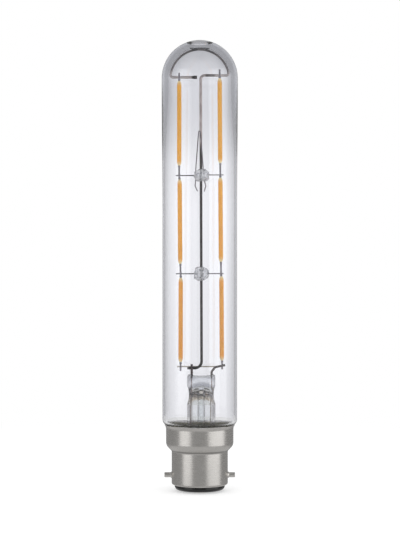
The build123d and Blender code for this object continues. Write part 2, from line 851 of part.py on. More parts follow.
pieces = {
    "glass_envelope": glass_envelope(),
    "glass_stem": glass_stem(),
    "exhaust_tube": exhaust_tube(),
    "mast_wire": mast_wire(),
    "upper_bead": upper_bead(),
    "lower_bead": lower_bead(),
    "bead_hairpin": bead_hairpin(),
    "upper_left_cross_wire": upper_cross_wire(-1),
    "upper_right_cross_wire": upper_cross_wire(1),
    "lower_left_cross_wire": lower_cross_wire(-1),
    "lower_right_cross_wire": lower_cross_wire(1),
    "link_wire": link_wire(),
    "left_inner_lead": left_inner_lead(),
    "right_inner_lead": right_inner_lead(),
    "left_seal_wire": seal_wire(-1),
    "right_seal_wire": seal_wire(1),
    "left_outer_lead": outer_lead(-1),
    "right_outer_lead": outer_lead(1),
    **string_parts(-1),
    **string_parts(1),
    "cap_shell": cap_shell(),
    "left_bayonet_pin": bayonet_pin(-1),
    "right_bayonet_pin": bayonet_pin(1),
    "cap_insulator": cap_insulator(),
    "front_contact": contact(-1),
    "rear_contact": contact(1),
    "front_contact_solder": contact_solder(-1),
    "rear_contact_solder": contact_solder(1),
    "front_supply_wire": supply_wire(-1),
    "rear_supply_wire": supply_wire(1),
    "cement_ring": cement_ring(),
    "driver_board": driver_board(),
    "smoothing_capacitor": smoothing_capacitor(),
    "rectifier_bridge": package(bridge_size, bridge_place, bridge_legs),
    "fusible_resistor": fusible_resistor(),
    "driver_chip": package(chip_size, chip_place, chip_legs),
}

os.makedirs("parts", exist_ok=True)
for node, solid in pieces.items():
    export_step(solid, f"parts/{node}.step")
    print(node, round(solid.volume, 3))
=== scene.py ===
# %% [markdown]
# # A clear tubular lamp with amber filaments
# The construction of this lamp comes ready from its maker's model: every wire, tab and shell
# already has its real size and place, in metres, standing upright with Z along the tube.
# This lesson gives each piece its looks: blown glass, dull nickel wire, amber silicone and a
# plated bayonet cap. Where the ready mesh is too coarse for glass or polished metal, a finer
# piece is turned in the same place and stands for it.

# %% Load the lamp's frame
import math

import bmesh
import bpy
from mathutils import Matrix, Vector, noise


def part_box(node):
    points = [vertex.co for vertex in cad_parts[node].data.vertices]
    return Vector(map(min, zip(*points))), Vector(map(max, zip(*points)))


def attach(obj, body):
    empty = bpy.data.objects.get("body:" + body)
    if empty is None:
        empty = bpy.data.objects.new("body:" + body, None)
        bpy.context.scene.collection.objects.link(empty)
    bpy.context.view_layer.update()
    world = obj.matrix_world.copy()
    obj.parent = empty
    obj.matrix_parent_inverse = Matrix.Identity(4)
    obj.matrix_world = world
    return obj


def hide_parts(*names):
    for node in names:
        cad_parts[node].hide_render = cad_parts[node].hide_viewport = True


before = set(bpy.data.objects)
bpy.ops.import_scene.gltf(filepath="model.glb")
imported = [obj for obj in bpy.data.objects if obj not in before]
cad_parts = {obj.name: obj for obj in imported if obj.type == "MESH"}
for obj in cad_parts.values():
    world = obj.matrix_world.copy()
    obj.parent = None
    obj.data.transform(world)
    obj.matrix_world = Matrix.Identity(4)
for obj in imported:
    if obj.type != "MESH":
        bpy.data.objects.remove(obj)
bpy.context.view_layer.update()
MM = 0.001

# %% [markdown]
# ## Small helpers for materials
# Every finish below is a chain of shader nodes on one main shader. Written out node by node, a
# chain is long and hard to follow. So one helper starts a material, and another adds a node
# with its settings and the values of its inputs in a single call.

# %% Node helpers
def add_node(tree, kind, settings=None, **sockets):
    """A new node; settings are its own properties, sockets are the values of its inputs."""
    made = tree.nodes.new(kind)
    for key, value in (settings or {}).items():
        setattr(made, key, value)
    for key, value in sockets.items():
        made.inputs[key.replace("_", " ")].default_value = value
    return made


def new_finish(name):
    """An empty material with its node tree and its main shader."""
    made = bpy.data.materials.new(name)
    made.use_nodes = True
    return made, made.node_tree, made.node_tree.nodes["Principled BSDF"]


print("helpers for nodes", 2)

# %% [markdown]
# ## Patterns measured on the piece
# A pattern could be painted on an unwrapped piece, or be worked out from where each point lies.
# The second way needs no unwrapping and no pictures. Object coordinates are used, because they
# stay on the piece when it moves, and because a grain can then be given in millimetres.

# %% Grain and relief
def millimetre_noise(tree, size, stretch=(1, 1, 1), detail=3.0):
    """Noise whose grains are about size millimetres, longer along an axis by its stretch."""
    place = add_node(tree, "ShaderNodeTexCoord")
    mapping = add_node(tree, "ShaderNodeMapping", Scale=[1 / (MM * size * s) for s in stretch])
    grain = add_node(tree, "ShaderNodeTexNoise", Scale=1.0, Detail=detail, Roughness=0.55)
    tree.links.new(place.outputs["Object"], mapping.inputs["Vector"])
    tree.links.new(mapping.outputs["Vector"], grain.inputs["Vector"])
    return grain.outputs["Fac"]


def add_bump(tree, shader, height, depth):
    """Relief from a pattern, with its full depth in millimetres."""
    bump = add_node(tree, "ShaderNodeBump", Strength=1.0, Distance=depth * MM)
    tree.links.new(height, bump.inputs["Height"])
    tree.links.new(bump.outputs["Normal"], shader.inputs["Normal"])


print("helpers for patterns", 2)

# %% [markdown]
# ## Clear glass
# The envelope is drawn tube, so its faint ripples run up the tube. The stem was pressed by hand,
# so its ripples are coarse. Clear glass could be a shader that only tints and mirrors, but then
# nothing behind it would bend. So it is true refracting glass, with a body that takes away a
# little light on the way through. Shadow rays pass almost straight through, so that the lamps
# still light the filaments.

# %% The glass finishes
glass_ior = 1.51
body_tint = (0.0, 0.05, 0.2, 1)
shadow_tint = (0.94, 0.95, 0.96, 1)
white = (1.0, 1.0, 1.0)


def glass_finish(name, tint, ripple, stretch, depth, dimming, clearness=1.0):
    """Glass with ripples of a size and depth in millimetres, and a dimming for each millimetre."""
    made, tree, shader = new_finish(name)
    shader.inputs["Base Color"].default_value = (*tint, 1)
    shader.inputs["Transmission Weight"].default_value = clearness
    shader.inputs["IOR"].default_value = glass_ior
    shader.inputs["Roughness"].default_value = 0.0
    add_bump(tree, shader, millimetre_noise(tree, ripple, stretch), depth)
    body = add_node(tree, "ShaderNodeVolumeAbsorption", Color=body_tint, Density=dimming / MM)
    path = add_node(tree, "ShaderNodeLightPath")
    clear = add_node(tree, "ShaderNodeBsdfTransparent", Color=shadow_tint)
    mix = add_node(tree, "ShaderNodeMixShader")
    tree.links.new(path.outputs["Is Shadow Ray"], mix.inputs["Fac"])
    tree.links.new(shader.outputs["BSDF"], mix.inputs[1])
    tree.links.new(clear.outputs["BSDF"], mix.inputs[2])
    tree.links.new(mix.outputs["Shader"], tree.nodes["Material Output"].inputs["Surface"])
    tree.links.new(body.outputs["Volume"], tree.nodes["Material Output"].inputs["Volume"])
    return made


pressed = {"tint": (0.96, 0.97, 0.97), "ripple": 1.6, "stretch": (1, 1, 3), "depth": 0.03}
envelope_glass = glass_finish("envelope_glass", white, 6.0, (1, 1, 8), 0.006, dimming=0.04)
stem_glass = glass_finish("stem_glass", **pressed, dimming=0.04)
exhaust_glass = glass_finish("exhaust_glass", **pressed, dimming=0.04)
print("clear glass finishes", 3)

# %% [markdown]
# The beads were melted round the wires, so they are milky and full of small folds that look dark.
# Every fold could be modelled, but that takes a very fine mesh, and folds this small are only seen
# as tones. So the glass is less clear, and a noise darkens it in spots, as painted shade of the folds.

# %% The bead glass
def ramp_of(tree, value, stops):
    """Colours between stops of (position, (red, green, blue)), read from a value."""
    ramp = add_node(tree, "ShaderNodeValToRGB")
    elements = ramp.color_ramp.elements
    while len(elements) < len(stops):
        elements.new(0.5)
    for element, (position, colour) in zip(elements, stops):
        element.position = position
        element.color = (*colour, 1)
    tree.links.new(value, ramp.inputs["Fac"])
    return ramp.outputs["Color"]


fold_grain = 0.75
# Painted shade of the bead's folds, spread by a noise.
fold_shade_tones = [(0.38, (0.34, 0.34, 0.37)), (0.48, (0.92, 0.92, 0.94)), (0.6, white)]
bead_glass = glass_finish(
    "bead_glass", (0.9, 0.9, 0.92), 0.7, (1, 1, 1), 0.2, dimming=0.05, clearness=0.6
)
bead_tree = bead_glass.node_tree
bead_shader = bead_tree.nodes["Principled BSDF"]
bead_shader.inputs["Roughness"].default_value = 0.1
fold_shade_colour = ramp_of(bead_tree, millimetre_noise(bead_tree, fold_grain), fold_shade_tones)
bead_tree.links.new(fold_shade_colour, bead_shader.inputs["Base Color"])
print("fold tones", len(fold_shade_tones))

# %% [markdown]
# ## Sums and blends by nodes
# Some looks follow a place on the piece, such as a band at a height. A picture could hold the
# band, but it would need unwrapping, and a sum on the height does it with no picture. Most of
# the helpers below add one node, give it what feeds it, which is another node's output or a
# plain value, and hand back its result.

# %% Helpers for sums and blends
def feed(tree, value, socket):
    """Give a socket another node's output or a plain value."""
    if isinstance(value, bpy.types.NodeSocket):
        tree.links.new(value, socket)
    else:
        socket.default_value = value


def worked_out(tree, operation, *values):
    """The result of one operation on outputs or plain numbers."""
    made = add_node(tree, "ShaderNodeMath", {"operation": operation})
    for value, socket in zip(values, made.inputs):
        feed(tree, value, socket)
    return made.outputs["Value"]


def carried_over(tree, value, start, end, low=0.0, high=1.0, easing="LINEAR"):
    """A value that goes from start to end, carried over to go from low to high."""
    made = add_node(
        tree, "ShaderNodeMapRange", {"interpolation_type": easing},
        From_Min=start, From_Max=end, To_Min=low, To_Max=high,
    )
    feed(tree, value, made.inputs["Value"])
    return made.outputs["Result"]


def mixed(tree, share, first, second, blend="MIX", kind="RGBA"):
    """Two colours or two numbers blended, by a share of the second."""
    made = add_node(tree, "ShaderNodeMix", {"data_type": kind, "blend_type": blend})
    for name, value in (("Factor", share), ("A", first), ("B", second)):
        feed(tree, value, made.inputs[name])
    return made.outputs["Result"]


def place_along(tree, axis):
    """Where a point of the piece lies along X, Y or Z, in metres."""
    place = add_node(tree, "ShaderNodeTexCoord")
    split = add_node(tree, "ShaderNodeSeparateXYZ")
    tree.links.new(place.outputs["Object"], split.inputs["Vector"])
    return split.outputs[axis]


print("helpers for sums and blends", 5)

# %% [markdown]
# The pinch of the stem was squeezed while it was soft round the hot wires, so its folds bend the
# light unevenly. From the bottom up it looks like a brownish crumpled stretch, a dark fold under
# the exhaust hole, clear glass, a grey band, a clearer gap and grey again. Real folds would need a
# mesh of their own, but seen from outside they are tones, so these are painted shade in the glass's
# tint, read from the height. The bands sag to both sides like an arch and wander a little, and both
# edges get a little painted shade too.

# %% Paint shade into the pinch
stem_x, arch_sag = 0.75, 0.07
band_wander, wander_grain = 0.7, 0.8
# Painted shade darkens both sides of the pinch.
side_start, side_end, side_shade_tone = 3.5, 4.1, (0.8, 0.78, 0.78)
pinch_low, pinch_high = 35.0, 46.5
# Painted shade in bands up the pinch, with a near-black fold line from 39.35 to 39.8 mm.
pinch_shade_bands = [
    (36.1, (0.95, 0.96, 0.96)),
    (36.6, (0.86, 0.83, 0.77)),
    (39.2, (0.88, 0.85, 0.81)),
    (39.35, (0.05, 0.045, 0.04)),
    (39.8, (0.05, 0.045, 0.04)),
    (40.0, (0.96, 0.97, 0.97)),
    (40.9, (0.95, 0.96, 0.96)),
    (41.3, (0.46, 0.47, 0.49)),
    (42.6, (0.58, 0.59, 0.61)),
    (43.3, (0.96, 0.97, 0.97)),
    (44.4, (0.90, 0.91, 0.92)),
    (45.1, (0.66, 0.67, 0.69)),
]
black = (0.0, 0.0, 0.0)
# Painted shade of the creases in the crumpled stretch, by a noise.
crumple_zone = [(36.2, black), (36.5, white), (39.2, white), (39.4, black)]
crease_grain = 0.7
crease_shade_tones = [(0.38, (0.28, 0.26, 0.24)), (0.44, (0.9, 0.87, 0.83)), (0.55, white)]


def up_the_pinch(bands):
    """Ramp stops from bands of (height in millimetres, colour)."""
    return [((height - pinch_low) / (pinch_high - pinch_low), colour) for height, colour in bands]


def paint_pinch_shade(made):
    """Painted shade: bands of grey and brown across the pinch, read from the height and bent to an arch.
    """
    tree = made.node_tree
    off_middle = worked_out(tree, "SUBTRACT", place_along(tree, "X"), stem_x * MM)
    squared = worked_out(tree, "POWER", off_middle, 2.0)
    arched = worked_out(tree, "MULTIPLY_ADD", squared, arch_sag / MM, place_along(tree, "Z"))
    uneven = millimetre_noise(tree, wander_grain)
    wandering = worked_out(tree, "MULTIPLY_ADD", uneven, band_wander * MM, arched)
    height = carried_over(tree, wandering, pinch_low * MM, pinch_high * MM)
    bands = ramp_of(tree, height, up_the_pinch(pinch_shade_bands))
    zone = ramp_of(tree, height, up_the_pinch(crumple_zone))
    creases = ramp_of(tree, millimetre_noise(tree, crease_grain), crease_shade_tones)
    crumpled = mixed(tree, zone, bands, creases, "MULTIPLY")
    outwards = carried_over(tree, squared, (side_start * MM) ** 2, (side_end * MM) ** 2)
    sides = ramp_of(tree, outwards, [(0.0, white), (1.0, side_shade_tone)])
    tinted = mixed(tree, 1.0, crumpled, sides, "MULTIPLY")
    tree.links.new(tinted, tree.nodes["Principled BSDF"].inputs["Base Color"])


paint_pinch_shade(stem_glass)
print("pinch bands", len(pinch_shade_bands))

# %% [markdown]
# ## Metals
# The metal here is nickel, coppered and tinned wire, steel tabs, brass and solder. Each could
# have a shader of its own, but they differ only in a few choices, so one function makes them
# all. Each one is a metal whose colour and gloss wander a little, with drawing lines along a
# wire or turning lines round the cap.

# %% The metal finishes
grain_low, grain_high = 0.3, 0.7
blend_low, blend_high = 0.12, 0.36
smoother, rougher = 0.8, 1.25


def metal_finish(name, pale, dark, roughness, grain, stretch, depth, patch=4.0):
    """Metal between two colours, with gloss that wanders, and lines from a stretched noise."""
    made, tree, shader = new_finish(name)
    shader.inputs["Metallic"].default_value = 1.0
    lines = millimetre_noise(tree, grain, stretch, detail=5.0)
    blend = worked_out(tree, "MULTIPLY", millimetre_noise(tree, patch), lines)
    colour = ramp_of(tree, blend, [(blend_low, dark), (blend_high, pale)])
    tree.links.new(colour, shader.inputs["Base Color"])
    gloss = (roughness * smoother, roughness * rougher)
    wander = carried_over(tree, lines, grain_low, grain_high, *gloss)
    tree.links.new(wander, shader.inputs["Roughness"])
    add_bump(tree, shader, lines, depth)
    return made


up_lines, cross_lines, lead_lines = (1, 1, 12), (12, 1, 1), (1, 1, 6)
mast_nickel = metal_finish(
    "mast_nickel", (0.56, 0.5, 0.49), (0.30, 0.26, 0.25), 0.42, 0.25, up_lines, 0.01
)
lead_nickel = metal_finish(
    "lead_nickel", (0.09, 0.07, 0.07), (0.03, 0.02, 0.025), 0.4, 0.25, up_lines, 0.01
)
cross_nickel = metal_finish(
    "cross_nickel", (0.26, 0.24, 0.26), (0.09, 0.08, 0.09), 0.38, 0.2, cross_lines, 0.008
)
# The left cross wires get a darker copy of the cross wires' nickel, as painted shade.
shaded_nickel = metal_finish(
    "shaded_nickel", (0.07, 0.065, 0.07), (0.02, 0.02, 0.025), 0.4, 0.2, cross_lines, 0.008
)
link_nickel = metal_finish(
    "link_nickel", (0.62, 0.57, 0.48), (0.4, 0.36, 0.3), 0.4, 0.2, cross_lines, 0.008
)
tab_steel = metal_finish("tab_steel", (0.24, 0.22, 0.25), (0.08, 0.07, 0.08), 0.36, 0.2, (1, 1, 4), 0.01)
seal_copper = metal_finish(
    "seal_copper", (0.42, 0.22, 0.14), (0.18, 0.09, 0.07), 0.45, 0.2, lead_lines, 0.008
)
tinned_copper = metal_finish(
    "tinned_copper", (0.5, 0.46, 0.42), (0.25, 0.2, 0.17), 0.4, 0.2, lead_lines, 0.01
)
cap_nickel = metal_finish(
    "cap_nickel", (0.68, 0.66, 0.635), (0.61, 0.59, 0.565), 0.28, 0.16, (14, 14, 1), 0.0006, 7.0
)
pin_nickel = metal_finish("pin_nickel", (0.76, 0.74, 0.71), (0.64, 0.62, 0.59), 0.2, 0.3, (4, 1, 1), 0.002)
contact_brass = metal_finish(
    "contact_brass", (0.75, 0.58, 0.3), (0.5, 0.36, 0.16), 0.35, 0.3, (1, 1, 1), 0.01
)
solder_tin = metal_finish("solder_tin", (0.66, 0.66, 0.66), (0.42, 0.42, 0.43), 0.32, 0.5, (1, 1, 1), 0.05)
print("metal finishes", 12)

# %% [markdown]
# The mast is painted bright only near its top and dark below, over the dome and in two places
# along its arms: a painted reflection of the studio on shiny wire. The cap gets painted shade in
# the crease under its skirt and a painted dark reflection in a line at its foot. This could be painted
# on a picture, but here it lies in bands along one axis, so a ramp along that axis darkens the metal.

# %% Painted shade and reflections on the metals
def paint_shade_bands(made, axis, bands):
    """Bands of (millimetres along an axis of the piece, tone) that darken a metal, as painted shade and
    reflection.
    """
    tree = made.node_tree
    colour_socket = tree.nodes["Principled BSDF"].inputs["Base Color"]
    low, high = bands[0][0] - 1, bands[-1][0] + 1
    along = carried_over(tree, place_along(tree, axis), low * MM, high * MM)
    tones = ramp_of(tree, along, [((at - low) / (high - low), (tone,) * 3) for at, tone in bands])
    darkened = mixed(tree, 1.0, colour_socket.links[0].from_socket, tones, "MULTIPLY")
    tree.links.new(darkened, colour_socket)


# Painted reflection on the mast: bright near its top, dark below, over the dome and in two stretches of
# its arms.
mast_reflection_heights = [(132, 0.10), (134, 0.18), (137, 0.9), (163, 1.0), (165, 0.35)]
left_arm = [(-3.3, 1.0), (-3.0, 0.12), (-1.0, 0.12), (-0.7, 1.0)]
right_arm = [(1.9, 1.0), (2.6, 0.3), (5.4, 0.3), (6.4, 1.0)]
# Painted shade on the cap: a dark reflection line at its foot and shade in the crease under its skirt.
foot_reflection_line = [(2.9, 1.0), (3.15, 0.82), (3.4, 1.0)]
skirt_crease_shade = [(15.5, 1.0), (15.8, 0.5), (16.1, 0.5), (16.5, 1.0)]
paint_shade_bands(mast_nickel, "Z", mast_reflection_heights)
paint_shade_bands(mast_nickel, "X", left_arm + right_arm)
paint_shade_bands(cap_nickel, "Z", foot_reflection_line + skirt_crease_shade)
print("stained metals", 2)

# %% [markdown]
# ## Amber filaments
# Each filament is a strip of tiny lights under a stick of silicone full of yellow phosphor. The
# silicone is thick and even along the middle, thin and paler at both ends. A ramp on the height
# could make the pale ends, but the six sticks end at different heights. So each piece carries
# its own value, called along, from 0 at one end to 1 at the other. A ramp on the height makes the
# amber paler from the bottom tier up to the top one, a painted reflection of a pale haze on the
# glass in front. Light goes a little way into the silicone.

# %% The silicone finish
low_amber, middle_amber, top_amber = (0.80, 0.31, 0.0), (0.83, 0.355, 0.0), (0.88, 0.41, 0.004)
amber_low, amber_high = 50.0, 162.0
pale_end, pale_share = (0.80, 0.66, 0.36, 1), 0.06
mottle_tone = (0.88, 0.86, 0.82)


def silicone_finish(name):
    """Amber silicone, paler at both ends of a stick, with a painted reflection that pales it higher up."""
    made, tree, shader = new_finish(name)
    height = carried_over(tree, place_along(tree, "Z"), amber_low * MM, amber_high * MM)
    # The ramp on the height is a painted reflection: the amber is paler higher up the lamp.
    painted_haze_tier = ramp_of(tree, height, [(0.0, low_amber), (0.5, middle_amber), (1.0, top_amber)])
    mottle_stops = [(grain_low, mottle_tone), (grain_high, white)]
    mottle = ramp_of(tree, millimetre_noise(tree, 1.2, (1, 1, 3)), mottle_stops)
    amber = mixed(tree, 1.0, painted_haze_tier, mottle, "MULTIPLY")
    along = add_node(tree, "ShaderNodeAttribute", {"attribute_name": "along"})
    end_stops = [(0.0, white), (pale_share, black), (1 - pale_share, black), (1.0, white)]
    ends = ramp_of(tree, along.outputs["Fac"], end_stops)
    tree.links.new(mixed(tree, ends, amber, pale_end), shader.inputs["Base Color"])
    shader.inputs["Roughness"].default_value = 0.5
    shader.inputs["Specular IOR Level"].default_value = 0.1
    shader.inputs["Subsurface Weight"].default_value = 0.25
    shader.inputs["Subsurface Scale"].default_value = 0.4 * MM
    shader.inputs["Subsurface Radius"].default_value = (1.0, 0.5, 0.2)
    add_bump(tree, shader, millimetre_noise(tree, 0.9), 0.03)
    return made


amber_silicone = silicone_finish("amber_silicone")
print("amber from", amber_low, "to", amber_high, "mm")

# %% [markdown]
# ## Mouldings, cement and the small driver
# What is left is dull or glossy and not metal: the black base, the brown cement, the green board
# and its parts. They could do with one flat colour each, but then they would all look like the
# same plastic. So each has two colours of a noise, a gloss and a fine relief.

# %% The moulded finishes
def moulded_finish(name, pale, dark, roughness, grain, depth):
    """Solid material that wanders between two colours, with a fine relief."""
    made, tree, shader = new_finish(name)
    mottle = millimetre_noise(tree, grain)
    colour = ramp_of(tree, mottle, [(grain_low, dark), (grain_high, pale)])
    tree.links.new(colour, shader.inputs["Base Color"])
    shader.inputs["Roughness"].default_value = roughness
    add_bump(tree, shader, mottle, depth)
    return made


black_moulding = moulded_finish(
    "black_moulding", (0.012, 0.012, 0.012), (0.006, 0.006, 0.006), 0.2, 1.5, 0.01
)
cement_fill = moulded_finish("cement_fill", (0.30, 0.265, 0.14), (0.15, 0.13, 0.065), 0.75, 0.8, 0.12)
board_green = moulded_finish("board_green", (0.05, 0.2, 0.07), (0.03, 0.13, 0.05), 0.45, 0.6, 0.01)
sleeve_blue = moulded_finish("sleeve_blue", (0.02, 0.03, 0.07), (0.01, 0.015, 0.04), 0.25, 1.5, 0.01)
chip_black = moulded_finish("chip_black", (0.03, 0.03, 0.03), (0.015, 0.015, 0.015), 0.6, 0.3, 0.01)
resistor_lacquer = moulded_finish(
    "resistor_lacquer", (0.12, 0.2, 0.14), (0.07, 0.13, 0.09), 0.35, 0.8, 0.02
)
print("moulded finishes", 6)

# %% [markdown]
# ## Dressing the ready nodes
# Each node names its finish by what it is made of. The finish goes onto the slot that the node
# already has. A changed copy of a node could be dressed instead, but the ready mesh has the true
# shape, so nothing of it is touched.

# %% A finish for every node
node_finishes = {
    "mast_wire": mast_nickel,
    "bead_hairpin": cross_nickel,
    "link_wire": link_nickel,
    "upper_left_cross_wire": shaded_nickel,
    "lower_left_cross_wire": shaded_nickel,
    "upper_right_cross_wire": cross_nickel,
    "lower_right_cross_wire": cross_nickel,
    "left_inner_lead": lead_nickel,
    "right_inner_lead": lead_nickel,
    "left_seal_wire": seal_copper,
    "right_seal_wire": seal_copper,
    "left_outer_lead": tinned_copper,
    "right_outer_lead": tinned_copper,
    "front_supply_wire": tinned_copper,
    "rear_supply_wire": tinned_copper,
    "exhaust_tube": exhaust_glass,
    "glass_stem": stem_glass,
    "glass_envelope": envelope_glass,
    "upper_bead": bead_glass,
    "lower_bead": bead_glass,
    "cap_shell": cap_nickel,
    "left_bayonet_pin": pin_nickel,
    "right_bayonet_pin": pin_nickel,
    "cap_insulator": black_moulding,
    "front_contact": contact_brass,
    "rear_contact": contact_brass,
    "front_contact_solder": solder_tin,
    "rear_contact_solder": solder_tin,
    "cement_ring": cement_fill,
    "driver_board": board_green,
    "smoothing_capacitor": sleeve_blue,
    "rectifier_bridge": chip_black,
    "driver_chip": chip_black,
    "fusible_resistor": resistor_lacquer,
}
for node_name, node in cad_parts.items():
    if node_name.endswith("_tab"):
        finish = tab_steel
    elif node_name.endswith("_filament"):
        finish = amber_silicone
    else:
        finish = node_finishes[node_name]
    if not node.material_slots:
        node.data.materials.append(finish)
    for slot in node.material_slots:
        slot.material = finish
print("dressed", len(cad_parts))

# %% [markdown]
# ## Turning a piece
# Most of a lamp is round, so a turned outline makes it, as on a glass lathe. A Screw modifier
# could turn it too, but the spin operator leaves a finished mesh that can be shaped further. The
# outline is a row of corners in millimetres from the axis and up. A corner's round is cut by a
# vertex bevel, and a full spin with merging closes the piece.

# %% The lathe
def turned_bmesh(corners, steps, rounding=6):
    """A closed outline of (distance from the axis, height, round) in millimetres, spun about Z."""
    bm = bmesh.new()
    verts = [bm.verts.new((r * MM, 0, z * MM)) for r, z, _ in corners]
    for first, second in zip(verts, verts[1:] + verts[:1]):
        bm.edges.new((first, second))
    for vert, (_, _, round_size) in zip(verts, corners):
        if round_size:
            bmesh.ops.bevel(
                bm, geom=[vert], offset=round_size * MM, offset_type="OFFSET", segments=rounding,
                profile=0.5, affect="VERTICES", material=-1,
            )
    bmesh.ops.spin(
        bm, geom=bm.verts[:] + bm.edges[:], cent=(0, 0, 0), axis=(0, 0, 1), dvec=(0, 0, 0),
        angle=2 * math.pi, steps=steps, use_merge=True, use_duplicate=False,
    )
    bmesh.ops.remove_doubles(bm, verts=bm.verts[:], dist=1e-7)
    bmesh.ops.recalc_face_normals(bm, faces=bm.faces[:])
    return bm


def finish_mesh(name, bm, finish):
    """An object from a bmesh, shaded smooth, with one finish."""
    mesh = bpy.data.meshes.new(name)
    bm.to_mesh(mesh)
    bm.free()
    mesh.materials.append(finish)
    for face in mesh.polygons:
        face.use_smooth = True
    made = bpy.data.objects.new(name, mesh)
    bpy.context.scene.collection.objects.link(made)
    return made


print("helpers for turning", 2)

# %% [markdown]
# ## The glass envelope
# The real envelope is a drawn tube whose end was melted to a dome. So the dome's wall is two and
# a half times as thick as the tube's, the bore narrows towards it, and a thin pocket is left near
# the middle of the dome, where the glass was sealed. A single skin with a made-up thickness would
# look the same all over, but a thick wall in clear glass shows as a grey ring. So both the
# outside and the bore are in the outline.

# %% The envelope's outline
glass_low, glass_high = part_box("glass_envelope")
dome_r = (glass_high.x - glass_low.x) / 2 / MM
dome_height = glass_high.z / MM - dome_r
tube_r, tube_wall, rim_round = 14.6, 1.0, 0.4
neck_r, neck_top = 12.0, 24.0
neck_round, shoulder_round = 2.0, 2.5
widening_start, widening_end = 108.0, 158.0
dome_bore_r, thickening_start = 12.4, 127.5
crown_glass = 1.0
pocket_r, pocket_round, pocket_margin_deg = 4.0, 0.3, 3


def arc(centre, radius, start, end, steps):
    """Corners of a round stretch from one angle to another, in degrees."""
    angles = [math.radians(start + (end - start) * n / steps) for n in range(steps + 1)]
    return [(centre[0] + radius * math.cos(a), centre[1] + radius * math.sin(a), 0) for a in angles]


def eased(t):
    """A share from 0 to 1 that starts and ends gently, as an S."""
    return t * t * (3 - 2 * t)


def s_stretch(low, high, steps):
    """Corners of an S from one (distance from the axis, height) to another, in even steps up."""
    shares = [n / steps for n in range(steps + 1)]
    (low_r, low_z), (high_r, high_z) = low, high
    return [(low_r + (high_r - low_r) * eased(t), low_z + (high_z - low_z) * t, 0) for t in shares]


def shoulder(offset):
    """The bend out from the neck to the tube; offset is how far it lies inside the outside."""
    turn = math.degrees(math.acos(1 - (tube_r - neck_r) / (neck_round + shoulder_round)))
    centre = (neck_r + neck_round, neck_top)
    first = arc(centre, neck_round + offset, 180, 180 - turn, 8)
    away = math.radians(180 - turn)
    reach = neck_round + shoulder_round
    second_centre = (centre[0] + reach * math.cos(away), centre[1] + reach * math.sin(away))
    return first + arc(second_centre, shoulder_round - offset, -turn, 0, 10)[1:]


def envelope_outline():
    middle = (0, dome_height)
    outside = [(neck_r, glass_low.z / MM, rim_round)] + shoulder(0)
    outside += s_stretch((tube_r, widening_start), (dome_r, widening_end), 10)
    outside += arc(middle, dome_r, 0, 90, 48)
    crown_r = dome_r - crown_glass
    mouth_deg = math.degrees(math.acos(pocket_r / dome_bore_r))
    roof_deg = math.degrees(math.acos(pocket_r / crown_r))
    mouth_height = dome_height + math.sqrt(dome_bore_r**2 - pocket_r**2)
    roof_height = dome_height + math.sqrt(crown_r**2 - pocket_r**2)
    bore = [(neck_r - tube_wall, glass_low.z / MM, rim_round)] + shoulder(tube_wall)
    bore += s_stretch((tube_r - tube_wall, thickening_start), (dome_bore_r, dome_height), 24)[:-1]
    bore += arc(middle, dome_bore_r, 0, mouth_deg - pocket_margin_deg, 40)
    bore += [(pocket_r, mouth_height, pocket_round), (pocket_r, roof_height, pocket_round)]
    bore += arc(middle, crown_r, roof_deg + pocket_margin_deg, 90, 8)
    return outside + bore[::-1]


print("outline corners", len(envelope_outline()))

# %% [markdown]
# A turned pocket lies in the middle of the dome, but the real one lies a little off it. It could
# be cut apart and joined again, but that leaves seams in clear glass. So each point of the bore
# near it slides along its own sphere round the dome's middle, and the walls keep their thickness.

# %% Turn the envelope
pocket_y, pocket_blend = -2.0, 5.0


def blow_envelope():
    """The turned glass, with the pocket in its crown pushed off the middle, along the same spheres."""
    bm = turned_bmesh(envelope_outline(), 128)
    centre = Vector((0, 0, dome_height * MM))
    for vert in bm.verts:
        out = vert.co - centre
        if out.z > 0 and out.length < (dome_r - crown_glass / 2) * MM:
            past_pocket = min(1, max(0, (out.xy.length / MM - pocket_r) / pocket_blend))
            place = out.xy + Vector((0, pocket_y * MM * (1 - eased(past_pocket))))
            vert.co = centre + Vector((place.x, place.y, math.sqrt(out.length**2 - place.length**2)))
    return finish_mesh("blown_envelope", bm, envelope_glass)


envelope = blow_envelope()
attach(envelope, "root")
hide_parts("glass_envelope")
print("envelope faces", len(envelope.data.polygons))

# %% [markdown]
# ## The cap
# The cap is one sheet of plated brass, drawn to a narrow shell and a wider skirt, with its mouth
# opened a little over the glass. The ready mesh has its true shape, but the bright bands on the
# cap are reflections, and they break on large facets. So it is turned again with many steps
# round and soft corners. The bayonet pins stay as they are.

# %% Turn the cap
cap_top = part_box("cap_shell")[1].z / MM
sheet = 0.35
shell_r, skirt_r, mouth_r = 11.0, 13.2, 13.75
foot, shell_top, step_top = 2.5, 15.7, 17.9
flare_height = 1.1
foot_hole_r = 9.85


def cap_outline():
    outside = [
        (foot_hole_r, foot, 0.12),
        (shell_r, foot, 0.85),
        (shell_r, shell_top, 0.45),
        (skirt_r, step_top, 1.1),
        (skirt_r, cap_top - flare_height, 0.5),
        (mouth_r, cap_top, 0.1),
    ]
    inside = [
        (foot_hole_r, foot + sheet, 0.1),
        (shell_r - sheet, foot + sheet, 0.5),
        (shell_r - sheet, shell_top, 0.6),
        (skirt_r - sheet, step_top + sheet / 2, 0.9),
        (skirt_r - sheet, cap_top - flare_height, 0.5),
        (mouth_r - sheet, cap_top, 0.1),
    ]
    return outside + inside[::-1]


cap = finish_mesh("drawn_cap", turned_bmesh(cap_outline(), 160), cap_nickel)
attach(cap, "root")
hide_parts("cap_shell")
print("cap faces", len(cap.data.polygons))

